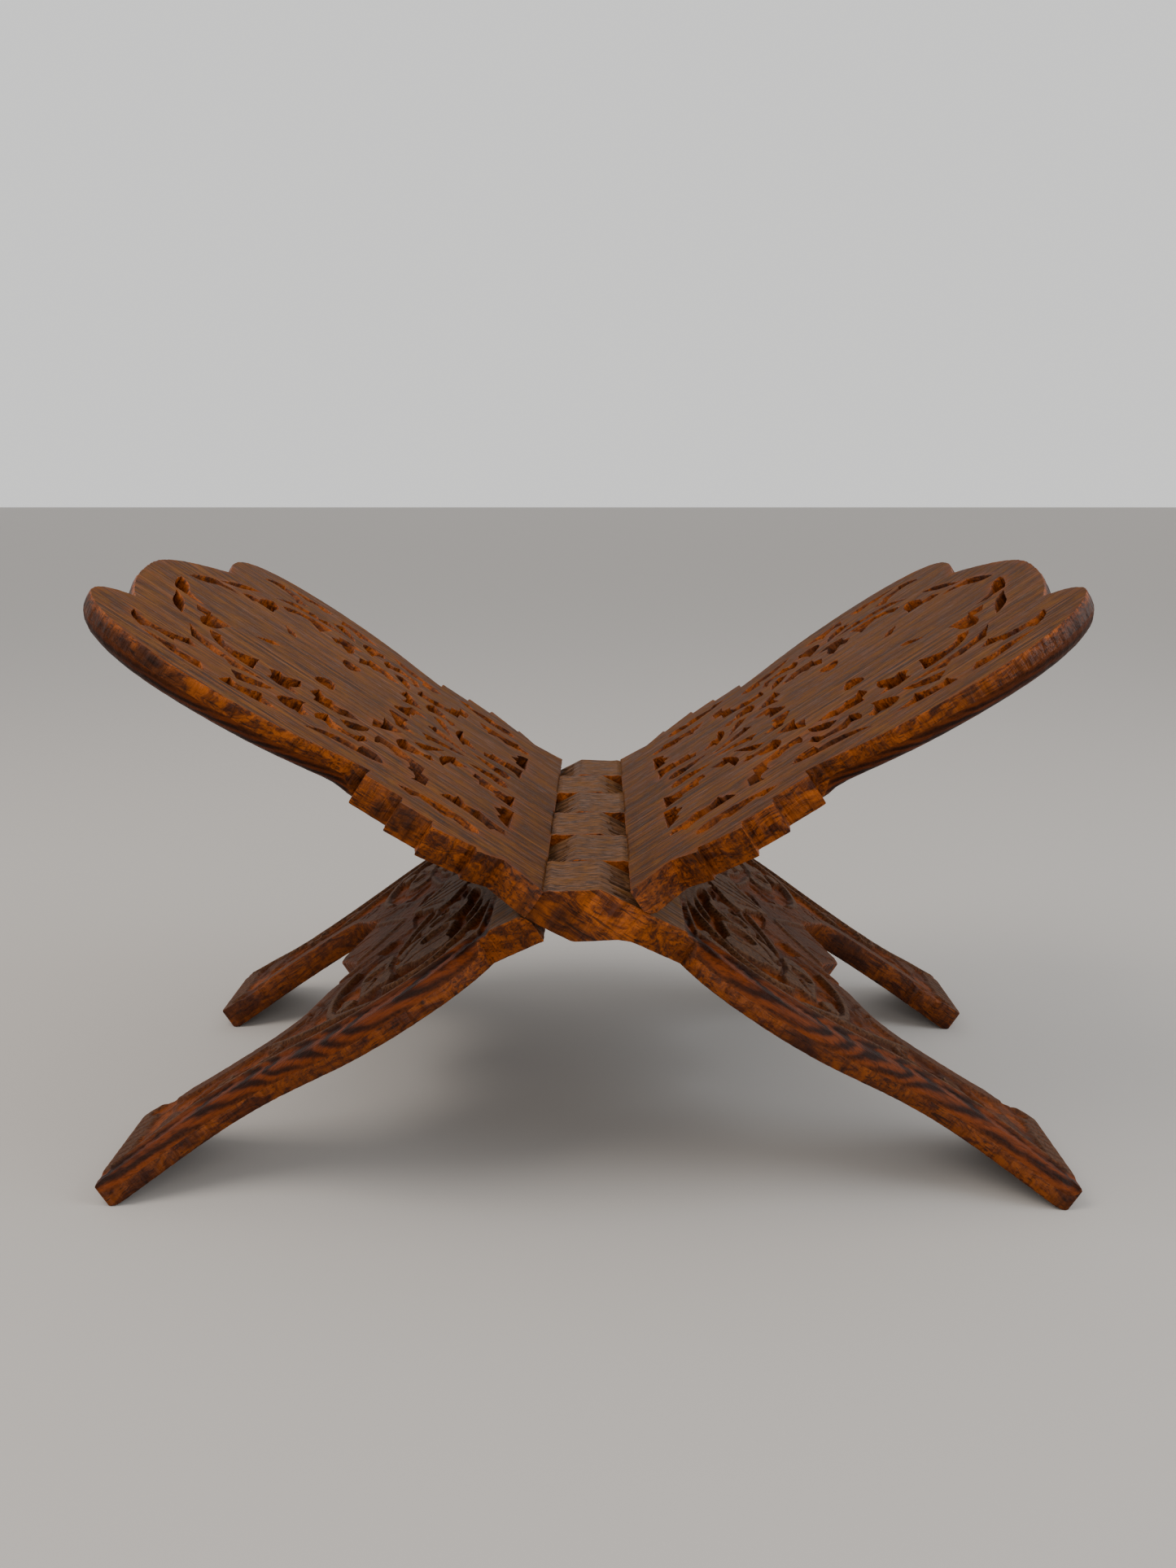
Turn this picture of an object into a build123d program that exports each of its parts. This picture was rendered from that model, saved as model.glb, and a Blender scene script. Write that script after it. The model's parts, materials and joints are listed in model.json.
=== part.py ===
from build123d import *
from math import cos, radians, sin
import os

# Folding carved book stand: two interlocked leaves sawn from one wooden plank.
#
# Frame: X across the opened stand, Y along the hinge, Z up. The origin is on the
# ground plane, under the middle of the hinge. The stand is modelled open, with
# the leaves at their stop.
#
# Each leaf is drawn flat in its own axes first: u runs along the leaf from the
# hinge axis, positive towards the book rest and negative towards the feet; v
# runs along the hinge; w runs through the plank, positive towards the outer side
# of the book rest. The plank is split in half by a saw kerf at w = 0, so the book
# rest of a leaf is the half with w > 0 and its legs are the half with w < 0. The
# fingers of the hinge join the two halves.

os.makedirs("parts", exist_ok=True)

# Driving dimensions, millimetres and degrees
LEAN = 33.3              # angle of an open leaf above the horizontal
HALF = 9.9               # half of the plank's thickness, to the middle of the kerf
KERF = 0.8               # saw kerf between the two leaves of the flat plank
HINGE_WIDTH = 194.0      # width of the plank across the fingers
FINGERS = 6              # fingers in all, taken in turn by the two leaves
FINGER_GAP = 0.4         # saw cut between neighbouring fingers
END_ROUND = 3.5          # rounding on the outer corner of a leaf's sawn end
EDGE_BEVEL = 5.0         # bevel along the outer edges of the lobes and the legs
LONG_EDGE = 100.0        # outline curves longer than this are bevelled
STOP_GAP = 0.05          # play left where a leaf's end rests on the other leaf
FOOT = 167.0             # hinge axis to the end of the feet
FOOT_FLAT = 3.0          # width of the level facet that a foot stands on
FRETWORK_START = 1.6     # distance the fretwork is set out beyond its drawing

INNER = KERF / 2         # from the middle of the kerf to a sawn inner face
SIN, COS = sin(radians(LEAN)), cos(radians(LEAN))
SIN2, COS2 = sin(radians(2 * LEAN)), cos(radians(2 * LEAN))
# The rounded end of each leaf meets the other leaf's outer face at the open stop.
SAWN_END = (HALF * (1 + COS2) - END_ROUND * (SIN2 + COS2 - 1) + STOP_GAP) / SIN2
HINGE_HEIGHT = (FOOT * SIN) - (INNER + FOOT_FLAT * SIN) * COS

# Book rest outline, hinge to lobes, as (u, half width): a notch and four teeth
REST_STEPS = [(27.1, 92.0), (35.3, 99.5), (36.1, 96.2), (49.2, 103.0), (49.8, 97.5),
              (59.7, 99.0), (60.1, 93.5), (71.8, 94.0), (71.8, 87.3)]
REST_SWELL = [(80.0, 91.0), (90.0, 96.2), (101.0, 100.8), (112.0, 103.5),
              (124.0, 104.8), (136.0, 104.0)]
# The three lobes, as (u, v) from the front corner to the back one
FRONT_LOBE = [(151.0, -97.5), (158.5, -90.0), (162.6, -80.0), (161.3, -70.0)]
FRONT_VALLEY = (156.2, -62.0)
MIDDLE_LOBE = [(163.5, -42.0), (168.0, -21.0), (170.3, -1.0), (168.8, 15.0), (164.3, 32.0)]
BACK_VALLEY = (158.0, 48.5)
BACK_LOBE = [(160.5, 57.0), (163.0, 72.0), (161.8, 84.5), (154.0, 96.5)]

# Leg outline, hinge to foot, as (-u, half width)
LEG_NOTCH = (31.3, 88.0)
LEG_FLANK = [(38.0, 93.7), (46.0, 97.0), (55.0, 98.6), (64.0, 99.0), (73.0, 98.1),
             (82.0, 96.0), (91.0, 92.7), (100.0, 89.2), (110.0, 85.9), (121.0, 84.0),
             (131.0, 84.2), (141.0, 86.2), (151.0, 89.2), (160.0, 92.2)]
FOOT_OUTER = 94.0
# Arch between the feet, foot to tongue, as (-u, half width)
FOOT_INNER = 45.5
ARCH_FOOT = [(158.0, 46.8), (149.0, 49.0), (139.0, 51.2), (129.0, 52.2), (118.0, 52.6),
             (108.0, 51.4), (101.5, 47.8), (98.0, 42.0), (94.0, 35.5), (89.8, 29.0)]
ARCH_TOP = (87.5, 21.0)
TONGUE_SIDE = (97.4, 4.0)
TONGUE_TIP = (98.6, 0.0)

# Fretwork of the book rest: one half, as (u, v) from the middle line. A third
# value of 1 marks a point on a curve; the others are corners.
FRETWORK = {
    "border_wave": [(35, 81.5), (38, 84.6, 1), (43.5, 82.8), (46, 85.5), (55, 82.6),
                    (57, 86), (61.5, 84), (57, 80.3, 1), (50, 77.5, 1), (40, 76.8, 1),
                    (36, 78.6, 1)],
    "border_feather": [(68.5, 72.5), (71, 74.8, 1), (75.5, 76.8, 1), (82, 79, 1), (92, 84),
                       (86.5, 76.3, 1), (80, 72.5), (76.8, 73.2), (76.3, 67.5),
                       (71.5, 67.3), (69.5, 70, 1)],
    "frame_side": [(27, 66.5), (31.2, 67.5), (32.3, 70.5), (35, 68.8, 1), (38.5, 67.5),
                   (50, 67), (47.2, 60.5), (45.7, 61), (44.8, 56.8), (41.5, 60.8),
                   (38.5, 60), (37, 58.5), (33.5, 61), (28, 62.2)],
    "frame_upper": [(26.8, 57), (30, 53, 1), (31.4, 50.2), (30.3, 48), (33.2, 42.5),
                    (30.6, 40), (31.2, 37), (30, 35.8), (26.5, 34.5)],
    "frame_lower": [(27.6, 30.5), (34, 29), (34.3, 26.3), (40.3, 27), (40.8, 22.5),
                    (43.3, 22), (42.8, 16.5), (34.7, 19.4), (30.4, 19.6), (27.6, 15.4)],
    "root_leaf": [(31, 7), (33.2, 11.2, 1), (37.5, 9.6), (39, 10.2), (47, 8.6),
                  (40, 4.4, 1), (34.5, 2.8, 1)],
    "stem_leaf": [(48.3, 2.6), (54, 6.3, 1), (61.4, 10.2), (62.3, 12.8), (63.4, 9.7),
                  (65, 7.2), (56, 3, 1)],
    "first_horn": [(46.3, 15.4), (50, 23.4), (52.2, 22.4), (53.6, 32.6), (55.6, 26, 1),
                   (54.8, 20.5, 1), (51.2, 12.4), (50.6, 15.6)],
    "second_horn": [(55.5, 12.3), (60.6, 27), (62.2, 28.3), (65.4, 26.6), (62.8, 22.4, 1)],
    "bud": [(56.5, 34), (58, 36.2), (61.5, 36.4), (62.2, 39.7), (67.5, 44),
            (69.7, 39, 1), (67.9, 30.3), (66, 32.6), (60.4, 33.4), (58.4, 30.5)],
    "scroll": [(54.7, 67.3), (59.4, 69.3), (58.9, 64, 1), (60.2, 61.5), (62.2, 60.8),
               (61.8, 56.8, 1), (63.2, 53.5), (67, 55), (70, 52.2, 1), (73.4, 52.7),
               (74.5, 55.2), (75.3, 50.5, 1), (75, 46), (68, 46), (62.3, 48.7),
               (57.8, 50), (57.8, 57.8), (55, 58.2)],
    "crown": [(76.3, 59.5), (78.3, 66), (81, 66.5), (85.5, 68.5), (87, 70), (89, 67),
              (90.4, 67.4), (91.9, 69.5), (93, 65, 1), (90.3, 58), (86, 62.8, 1),
              (82, 63.2, 1), (80, 62), (78, 56.3)],
    "drop": [(78.6, 44.5), (79.2, 51, 1), (81.5, 56, 1), (83.4, 58.3), (86.9, 55),
             (83.5, 49.6, 1)],
    "fan": [(82.5, 43), (87, 48.3), (88.2, 50), (97, 51.8), (97.2, 47), (100, 44.2),
            (98.5, 36.2), (95.3, 41.3), (93.2, 39.6), (91.3, 42.2), (89, 42.2),
            (87.2, 40.2)],
    "seed": [(70.2, 25), (71.8, 28.5, 1), (75.9, 35, 1), (78.6, 38.7), (80, 29),
             (76.6, 28), (77.6, 19.5), (73.5, 23.2, 1)],
    "hook": [(66.8, 16.2), (69.6, 18.2), (73.3, 18.8), (74.6, 14.4), (78.4, 5),
             (77.4, 3.3), (71.3, 3), (72.2, 8), (70.8, 9), (70.9, 13)],
    "heart": [(94, 71), (95.4, 75.8), (97.4, 74.8), (100.5, 76.2, 1), (103.6, 73.4, 1),
              (103, 68, 1), (97.4, 60.2), (97, 66.5, 1)],
    "upper_wing": [(100, 85.3), (107, 88.9, 1), (117.6, 90.9), (116.3, 83), (113, 84.8, 1),
                   (110.3, 82.8, 1), (107.3, 79), (105.8, 82.4)],
    "kite": [(106.6, 66.2), (110.6, 76, 1), (115, 80.3), (118.5, 74.8), (111.5, 69.6, 1)],
    "lobe_wing": [(121.8, 91.3), (128.5, 93, 1), (135, 91.2), (142.2, 89), (135.8, 87.5),
                  (133, 86.2), (130.2, 88.5), (124.9, 86)],
    "lobe_hook": [(129.8, 75), (135.2, 79.4), (134.7, 81.6), (142, 83), (143.4, 86.7),
                  (147.2, 83.2, 1), (149.5, 75.5), (144, 78.7, 1), (138.3, 76.8, 1),
                  (133.7, 70.2)],
    "long_leaf": [(110.4, 64.8), (120, 70.8), (122.7, 67.2), (125.3, 69), (134.3, 65.8),
                  (138.8, 54.3), (129, 62, 1), (120, 64.3, 1)],
    "inner_leaf": [(115.4, 59.8), (121.5, 60, 1), (128, 57, 1), (132.3, 52, 1),
                   (134.2, 47.2), (131, 45.4), (128.6, 50.3, 1), (124.2, 53.2),
                   (121, 50, 1), (117.5, 45.8), (116.8, 52, 1)],
    "urn": [(101, 57), (107, 59.2), (111.8, 57.7), (110.9, 54, 1), (113.2, 49),
            (110.5, 44.4), (108.5, 47.2), (104.3, 40.2), (103, 45, 1), (104.6, 53.6)],
    "tongue": [(132.6, 28.5), (133.6, 38, 1), (135.5, 44.3, 1), (137.3, 45.7), (140, 40, 1),
               (139.8, 33.4), (143.4, 33.2), (145.5, 27.3), (140.7, 26), (139.8, 28.8)],
    "outer_petal": [(143.7, 48), (149.3, 41, 1), (151.5, 33.5, 1), (153.6, 25.5),
                    (148.8, 31.8, 1), (146, 39, 1)],
    "top_petal": [(144.8, 21.8), (148.3, 24), (150.6, 22.8), (154.8, 22.6), (157.6, 15, 1),
                  (159.2, 4.2), (154, 10.5, 1), (151.8, 16.5, 1), (149, 20, 1)],
    "field_drop": [(98.5, 27), (101, 18, 1), (98.8, 16.2, 1), (97.4, 17.6, 1)],
    "field_dart": [(125.8, 20.6), (121.5, 17.8, 1), (119.2, 12.6), (122, 12.4)],
}


def outline(points):
    """Closed face through (u, v) corners and, where marked, curved points."""
    count = len(points)
    corners = [i for i in range(count) if len(points[i]) == 2]
    edges = []
    for place, start in enumerate(corners):
        stop = corners[(place + 1) % len(corners)]
        steps = (stop - start) % count or count
        run = [points[(start + k) % count][:2] for k in range(steps + 1)]
        edges.append(Spline(*run) if steps > 1 else Line(*run))
    return make_face(edges)


def mirrored(points):
    """The same points on the other side of the middle line."""
    return [(p[0], -p[1], *p[2:]) for p in points]


def curved(points):
    """Mark every point as lying on a curve."""
    return [(*p, 1) for p in points]


def rest_outline():
    """Book rest: sawn end, notch, four teeth, swell and three lobes."""
    front_steps = mirrored(REST_STEPS)
    half_end = HINGE_WIDTH / 2 + 1.0
    points = [(SAWN_END, -half_end)] + front_steps
    points += curved(mirrored(REST_SWELL)) + curved(FRONT_LOBE) + [FRONT_VALLEY]
    points += curved(MIDDLE_LOBE) + [BACK_VALLEY] + curved(BACK_LOBE)
    points += curved(reversed(REST_SWELL)) + list(reversed(REST_STEPS))
    points += [(SAWN_END, half_end)]
    return outline(points)


def leg_outline():
    """Legs: sawn end, notch, flowing flanks, two feet, arch and tongue."""
    flank = [LEG_NOTCH] + curved(LEG_FLANK) + [(FOOT, FOOT_OUTER)]
    arch = [(FOOT, FOOT_INNER)] + curved(ARCH_FOOT) + [ARCH_TOP, TONGUE_SIDE]
    side = [(SAWN_END, HINGE_WIDTH / 2)] + flank + arch
    points = side + curved([TONGUE_TIP]) + list(reversed(mirrored(side)))
    return outline([(-p[0], *p[1:]) for p in points])


def fretwork():
    """Every pierced opening of the book rest, both halves."""
    shapes = [outline(points) for points in FRETWORK.values()]
    openings = Sketch() + shapes + [mirror(shape, about=Plane.XZ) for shape in shapes]
    return Pos(FRETWORK_START, 0, 0) * openings


def slab(face, low, high):
    """Face in the (u, v) plane given thickness from w = low to w = high."""
    return extrude(Plane.XY.offset(low) * face, high - low)


def bevelled(plate, outer):
    """Plate with its long outline curves bevelled on the outer side: -1 top, 0 bottom."""
    wire = plate.faces().sort_by(Axis.Z)[outer].outer_wire()
    curves = wire.edges().filter_by(GeomType.BSPLINE)
    return chamfer([curve for curve in curves if curve.length > LONG_EDGE], EDGE_BEVEL)


def strip(section, low, high):
    """Section in the (u, w) plane run along the hinge from v = low to v = high."""
    plane = Plane(origin=(0, low, 0), x_dir=(1, 0, 0), z_dir=(0, 1, 0))
    flipped = [(u, -w) for u, w in section]
    return extrude(plane * make_face(Polyline(*flipped, close=True)), high - low)


def knuckle_section():
    """One finger: it carries a book rest over into the legs. Same when turned 180."""
    half = [(SAWN_END + 0.4, INNER), (11.2, -1.0), (0.8, -8.5), (-12.0, -HALF),
            (-SAWN_END - 4.0, -HALF)]
    return half + [(-u, -w) for u, w in half]


def finger_bounds(number):
    """Start and end of a finger along the hinge, counted from the front."""
    pitch = HINGE_WIDTH / FINGERS
    start = -HINGE_WIDTH / 2 + number * pitch
    gap_before = FINGER_GAP / 2 if number > 0 else 0
    gap_after = FINGER_GAP / 2 if number < FINGERS - 1 else 0
    return start + gap_before, start + pitch - gap_after


def sawn_end_waste():
    """What is removed to round the outer corner of a book rest's sawn end."""
    reach = HINGE_WIDTH
    corner = Pos(SAWN_END + END_ROUND / 2, 0, HALF - END_ROUND / 2)
    block = corner * Box(END_ROUND, reach, END_ROUND)
    centre = Pos(SAWN_END + END_ROUND, 0, HALF - END_ROUND) * Rot(90, 0, 0)
    return block - centre * Cylinder(END_ROUND, reach)


def foot_waste():
    """Wedge cut from the feet so that they stand on a level facet."""
    rise, run = FOOT_FLAT * SIN, FOOT_FLAT * COS
    section = [(-FOOT, -INNER - rise), (-FOOT + run, -INNER), (-FOOT + run, 1),
               (-FOOT - 1, 1), (-FOOT - 1, -INNER - rise)]
    return strip(section, -HINGE_WIDTH / 2, HINGE_WIDTH / 2)


def leaf(own_fingers):
    """One leaf, flat in its own axes, with the fingers numbered in own_fingers."""
    end_waste = sawn_end_waste()
    rest = bevelled(slab(rest_outline(), INNER, HALF), -1)
    rest -= slab(fretwork(), INNER, HALF) + end_waste
    legs = bevelled(slab(leg_outline(), -HALF, -INNER), 0)
    legs -= Rot(0, 180, 0) * end_waste + foot_waste()
    section = knuckle_section()
    knuckles = [strip(section, *finger_bounds(number)) for number in own_fingers]
    return rest + legs + knuckles


lay_open = Plane(origin=(0, 0, HINGE_HEIGHT), x_dir=(-COS, 0, SIN), z_dir=(-SIN, 0, -COS))
left_leaf = lay_open * leaf(range(0, FINGERS, 2))
right_leaf = mirror(lay_open * leaf(range(1, FINGERS, 2)), about=Plane.YZ)

export_step(left_leaf, "parts/left_leaf.step")
export_step(right_leaf, "parts/right_leaf.step")
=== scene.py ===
import json
import math

import bpy
import numpy as np
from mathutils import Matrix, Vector, geometry, kdtree


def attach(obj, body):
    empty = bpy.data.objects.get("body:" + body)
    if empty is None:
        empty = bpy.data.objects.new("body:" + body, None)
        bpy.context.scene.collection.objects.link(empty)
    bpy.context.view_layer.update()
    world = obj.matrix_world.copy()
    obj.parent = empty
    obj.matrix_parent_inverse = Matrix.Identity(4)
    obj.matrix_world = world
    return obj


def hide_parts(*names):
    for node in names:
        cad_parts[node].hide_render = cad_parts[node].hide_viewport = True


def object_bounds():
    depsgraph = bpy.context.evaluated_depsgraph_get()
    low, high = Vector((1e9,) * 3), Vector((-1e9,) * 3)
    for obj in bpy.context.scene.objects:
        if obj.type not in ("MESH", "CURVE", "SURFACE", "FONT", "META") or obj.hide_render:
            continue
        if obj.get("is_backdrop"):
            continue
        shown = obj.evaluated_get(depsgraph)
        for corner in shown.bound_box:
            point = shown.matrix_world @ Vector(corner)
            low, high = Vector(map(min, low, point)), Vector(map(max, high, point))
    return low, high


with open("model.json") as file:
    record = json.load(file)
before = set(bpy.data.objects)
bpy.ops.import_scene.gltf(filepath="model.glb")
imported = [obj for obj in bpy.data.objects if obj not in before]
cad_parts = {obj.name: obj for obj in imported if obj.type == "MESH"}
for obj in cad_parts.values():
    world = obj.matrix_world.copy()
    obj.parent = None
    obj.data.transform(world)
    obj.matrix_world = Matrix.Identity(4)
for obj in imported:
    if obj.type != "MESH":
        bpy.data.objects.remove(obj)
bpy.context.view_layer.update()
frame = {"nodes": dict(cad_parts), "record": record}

# A folding carved book stand: two leaves cut from one plank, shown open. Each leaf is
# modelled flat in its own axes, in millimetres: u runs along the leaf from the hinge,
# positive to the book rest and negative to the feet; v runs along the hinge; w runs
# through the plank, positive to the outer side of the book rest. The book rest's inner
# face and the legs' outer face form the upper sheet, the two other faces the lower one.

record = frame["record"]
mounts = {mount["name"]: mount for mount in record["mounts"]}
SIN, _, COS = mounts["book_rest"]["axis"]     # slope of a leaf
MM = 0.001
HINGE_Z = record["behaviour"]["joints"][0]["pos_m"][2] / MM
SIDES = {"left_leaf": -1, "right_leaf": 1}
LOOKS = ("raw", "dust", "polish", "wear", "cut", "knuckle")

HALF = 9.9            # middle of the kerf to an outer face
INNER = 0.4           # middle of the kerf to a sawn inner face
SAWN_END = 13.92      # sawn end of a book rest or of the legs, from the hinge axis
END_ROUND = 3.5       # rounding of a sawn end's outer corner
EDGE_ROUND = 7.0      # rounding of the lobes and of the legs' flanks
# Profile (u, w) of a finger on the upper sheet; the lower one has it half turned.
KNUCKLE = [(-17.92, -9.9), (-12.0, -9.9), (0.8, -8.5), (11.2, -1.0), (14.32, 0.4)]
FOOT = 167.0          # hinge axis to the end of the feet
FLAT_HINGE = 27.0     # the legs are plain from the hinge axis to here
RELIEF_FROM = FLAT_HINGE - 8    # carving and its rounded edges start here
LEAF_REACH = 200.0    # beyond the end of any leaf
SAWN, WALL, CARVED = 0, 1, 2    # places in each leaf's list of materials


# ---------- outlines from the CAD

LEVEL = 0.03          # a corner this close to a face's level lies on it
NEAR_AXIS = 5.0       # only the fingers come this close to the hinge axis
PAST_KNUCKLES = 12.0  # the flat faces start further from the axis than this
END_MARGIN = 0.6      # slack in telling the points of a sawn end
REST_END, LEGS_END = 97.6, 96.6     # half widths of the rest and the legs at the hinge
FOOT_MARGIN = 3.2     # length of the feet's slanted ends


def to_leaf(points, side):
    """World points in millimetres as (u, v, w)."""
    x, y, z = points.T
    z = z - HINGE_Z
    return np.stack([side * x * COS + z * SIN, y, side * x * SIN - z * COS], 1)


def to_world(points, side):
    """Leaf points (u, v, w) as world points in metres."""
    u, v, w = points.T
    x = side * (u * COS + w * SIN)
    return np.stack([x, v, HINGE_Z + u * SIN - w * COS], 1) * MM


def cad_mesh(node, side):
    """Merged corners in leaf axes, and triangles, of a CAD node."""
    mesh = frame["nodes"][node].data
    mesh.calc_loop_triangles()
    corners = np.array([vertex.co for vertex in mesh.vertices]) / MM
    triangles = np.array([triangle.vertices for triangle in mesh.loop_triangles])
    merged, index = np.unique(np.round(corners, 2), axis=0, return_inverse=True)
    return to_leaf(merged, side), index.ravel()[triangles]


def face_loops(corners, triangles, level, low, high):
    """Boundary loops (u, v) of the flat face at w = level, for u between low and high."""
    flat = abs(corners[:, 2] - level) < LEVEL
    flat &= (corners[:, 0] > low) & (corners[:, 0] < high)
    chosen = triangles[flat[triangles].all(1)]
    edges = set()
    for a, b, c in chosen.tolist():
        edges.update([(a, b), (b, c), (c, a)])
    following = {a: b for a, b in edges if (b, a) not in edges}
    loops = []
    while following:
        start, here = following.popitem()
        loop = [start]
        while here != start:
            loop.append(here)
            here = following.pop(here)
        loops.append(corners[loop, :2])
    return loops


def area(loop):
    """Signed area of a closed (u, v) loop."""
    nxt = np.roll(loop, -1, 0)
    return 0.5 * float(np.sum(loop[:, 0] * nxt[:, 1] - nxt[:, 0] * loop[:, 1]))


def turned(loop, sign):
    """The loop running anticlockwise for sign 1, clockwise for sign -1."""
    return loop if area(loop) * sign > 0 else loop[::-1]


def open_chain(loop, hinge_side):
    """The outer loop without its hinge side; hinge_side marks the points left out."""
    first = next(i for i in range(len(loop)) if hinge_side[i - 1] and not hinge_side[i])
    order = [(first + k) % len(loop) for k in range(len(loop))]
    return np.array([loop[i] for i in order if not hinge_side[i]])


def plan_of(node, side):
    """Outer loop and holes of a leaf in the (u, v) plane, and its own finger spans."""
    corners, triangles = cad_mesh(node, side)
    near = corners[abs(corners[:, 0]) < NEAR_AXIS]
    bounds = np.unique(np.round(near[:, 1], 1))
    spans = bounds.reshape(-1, 2)
    rest_loops = face_loops(corners, triangles, INNER, PAST_KNUCKLES, LEAF_REACH)
    rest_loops.sort(key=lambda loop: -abs(area(loop)))
    leg_loops = face_loops(corners, triangles, -INNER, -LEAF_REACH, -PAST_KNUCKLES)
    rest = turned(rest_loops[0], 1)
    legs = turned(max(leg_loops, key=lambda loop: abs(area(loop))), 1)
    near_hinge = (rest[:, 0] < SAWN_END + END_MARGIN) & (abs(rest[:, 1]) < REST_END)
    rest = open_chain(rest, near_hinge)
    near_hinge = (legs[:, 0] > -SAWN_END - END_MARGIN) & (abs(legs[:, 1]) < LEGS_END)
    legs = open_chain(legs, near_hinge)
    legs[legs[:, 0] < -FOOT + FOOT_MARGIN, 0] = -FOOT
    edge = bounds[-1]
    back_end, front_end = spans[-1][1], spans[0][0]
    if side < 0:     # no finger of its own at the back
        back = [(SAWN_END, back_end), (-SAWN_END, back_end)]
        front = [(SAWN_END, front_end)]
    else:            # no finger of its own at the front
        back = [(SAWN_END, edge)]
        front = [(-SAWN_END, front_end), (SAWN_END, front_end)]
    outer = np.concatenate([rest, back, legs, front])
    windows = []
    for before, after in zip(spans[:-1], spans[1:]):
        low, high = before[1], after[0]
        windows.append(np.array([(-SAWN_END, low), (SAWN_END, low), (SAWN_END, high),
                                 (-SAWN_END, high)]))
    holes = [turned(loop, -1) for loop in windows + rest_loops[1:]]
    return turned(outer, 1), holes, spans


# ---------- carving of the outer faces

def smooth(x, low, high):
    """Smooth step of x from 0 at low to 1 at high."""
    t = np.clip((x - low) / (high - low), 0, 1)
    return t * t * (3 - 2 * t)


TAPER, TIP = 8, 0.45  # how fast a stroke widens from its tip, and the tip's share


def segment_distance(p, a, b):
    """Distance of points p to the segment a-b, and how far along it they lie."""
    ab = b - a
    t = np.clip(((p - a) @ ab) / max(float(ab @ ab), 1e-9), 0, 1)
    return np.linalg.norm(p - a - t[:, None] * ab, axis=1), t


def spline(points, closed=False, steps=3):
    """Catmull-Rom curve through the points."""
    q = np.array(points, float)
    count = len(q)
    if closed:
        ends = [q[(i + k) % count] for k in (-1, 0, 1, 2) for i in range(count)]
    else:
        padded = np.concatenate([[2 * q[0] - q[1]], q, [2 * q[-1] - q[-2]]])
        ends = [padded[i + k] for k in (0, 1, 2, 3) for i in range(count - 1)]
    a, b, c, d = np.array(ends).reshape(4, -1, 2)
    out = []
    for k in range(steps):
        t = k / steps
        out.append(0.5 * (2 * b + (c - a) * t + (2 * a - 5 * b + 4 * c - d) * t * t
                          + (3 * b - a - 3 * c + d) * t ** 3))
    curve = np.stack(out, 1).reshape(-1, 2)
    return curve if closed else np.concatenate([curve, q[-1:]])


def polygon_depth(p, points):
    """Signed distance of points p to a closed outline, positive inside."""
    nearest = np.full(len(p), 1e9)
    inside = np.zeros(len(p), bool)
    for a, b in zip(points, np.roll(points, -1, 0)):
        nearest = np.minimum(nearest, segment_distance(p, a, b)[0])
        crosses = (a[1] > p[:, 1]) != (b[1] > p[:, 1])
        rise = b[1] - a[1] if abs(b[1] - a[1]) > 1e-9 else 1e-9
        inside ^= crosses & (p[:, 0] < (b[0] - a[0]) * (p[:, 1] - a[1]) / rise + a[0])
    return np.where(inside, nearest, -nearest)


def line_depth(p, points, half_width):
    """How far points p lie inside a stroke along the points, tapering at its ends."""
    best = np.full(len(p), -1e9)
    count = len(points) - 1
    for i in range(count):
        d, t = segment_distance(p, points[i], points[i + 1])
        along = (i + t) / count
        width = half_width * np.clip(np.minimum(along, 1 - along) * TAPER + TIP, 0, 1)
        best = np.maximum(best, width - d)
    return best


# Carving of the legs, one half, in (distance from the hinge axis, distance from the
# middle line). Depths are in millimetres below the face; the tint is how raw (orange)
# the wood is there, then how dusty (grey).
BORDER = [(163, 84.6), (156, 81.8), (151, 80.3), (146, 78.2), (141, 76), (136, 74.6),
          (130, 74), (124, 74.2), (118, 75), (112, 76.2), (106, 77.8), (100, 79.6),
          (94, 81.6), (88, 83.9), (82, 85.8), (76, 87), (70, 87.9), (63, 88.3),
          (56, 87.9), (50, 87), (45, 85.8), (41, 84), (38, 81.5), (36, 78.5)]
BORDER_SIDE = [(31.5, 83.5), (30.5, 76), (29.9, 68), (29.3, 60), (29, 52), (29.3, 44),
               (30.5, 36), (33, 27), (36.5, 20), (40, 15), (43, 11)]
FIELD = BORDER[:-2] + [(34.5, 82.6)] + BORDER_SIDE + [(43, -5), (172, -5), (172, 85)]
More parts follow.
